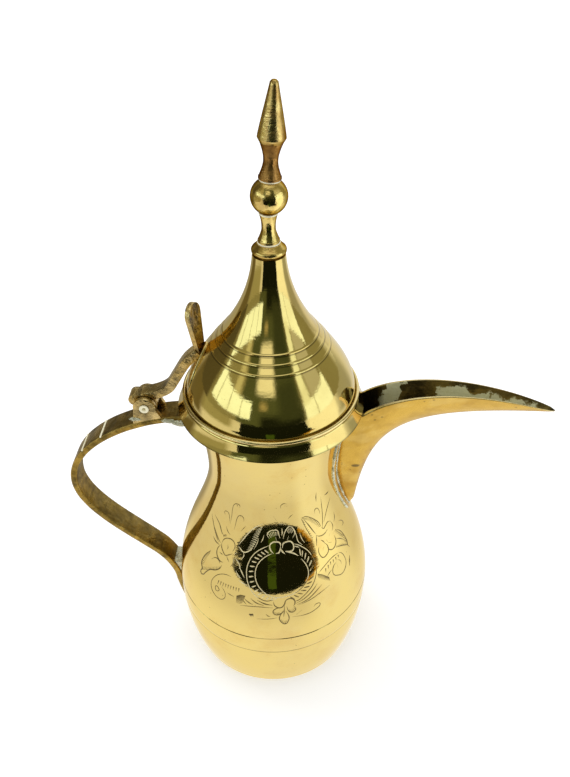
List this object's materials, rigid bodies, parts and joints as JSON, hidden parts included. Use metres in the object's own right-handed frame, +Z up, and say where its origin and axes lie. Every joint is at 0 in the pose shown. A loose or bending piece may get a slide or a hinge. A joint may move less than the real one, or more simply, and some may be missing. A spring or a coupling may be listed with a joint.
{
  "type": "dallah coffee pot",
  "caption": "Spun brass coffee pot with a waisted body, a hinged onion-dome lid with a turned finial, a beaked open spout and a bent strap handle.",
  "frame": {"origin": "centre of the flat base, on the surface that the pot stands on", "axes": "+Z up along the pot's axis, +X towards the spout, -X towards the handle"},
  "size_m": [0.2282, 0.101, 0.3005],
  "materials": {
    "polished_body": "spun sheet, polished to a mirror, with engraved ornament",
    "polished_lid": "spun sheet, polished to a mirror, with turned lines",
    "spout_brass": "satin, rubbed bright along the rim",
    "handle_bronze": "aged brown, rubbed bright on its edges",
    "hinge_bronze": "cast, dark olive brown",
    "solder": "dull tin solder",
    "pin_metal": "pale tinned metal",
    "finial_brass": "turned, lightly aged",
    "copper_spool": "turned, coppery tarnish"
  },
  "bodies": {
    "pot": {"lower_bowl": "polished_body", "upper_body": "polished_body", "spout": "spout_brass", "spout_flange": "solder", "handle_strap": "handle_bronze", "handle_solder": "solder", "hinge_ear_front": "hinge_bronze", "hinge_ear_back": "hinge_bronze", "hinge_pin": "pin_metal"},
    "lid": {"lid_lever": "hinge_bronze", "thumb_piece": "hinge_bronze", "lid_dome": "polished_lid", "lid_skirt": "polished_lid", "lid_bead": "polished_lid", "finial_cap": "finial_brass", "washer_low": "pin_metal", "spool_low": "finial_brass", "washer_mid": "pin_metal", "finial_ball": "finial_brass", "washer_top": "pin_metal", "spool_top": "copper_spool", "finial_spike": "finial_brass", "finial_rod": "finial_brass", "finial_nut": "finial_brass"}
  },
  "joints": [
    {"name": "lid_hinge", "type": "hinge", "parent": "pot", "child": "lid", "pos_m": [-0.0576, 0, 0.1571], "axis": [0, -1, 0], "range_deg": [0, 90]}
  ]
}
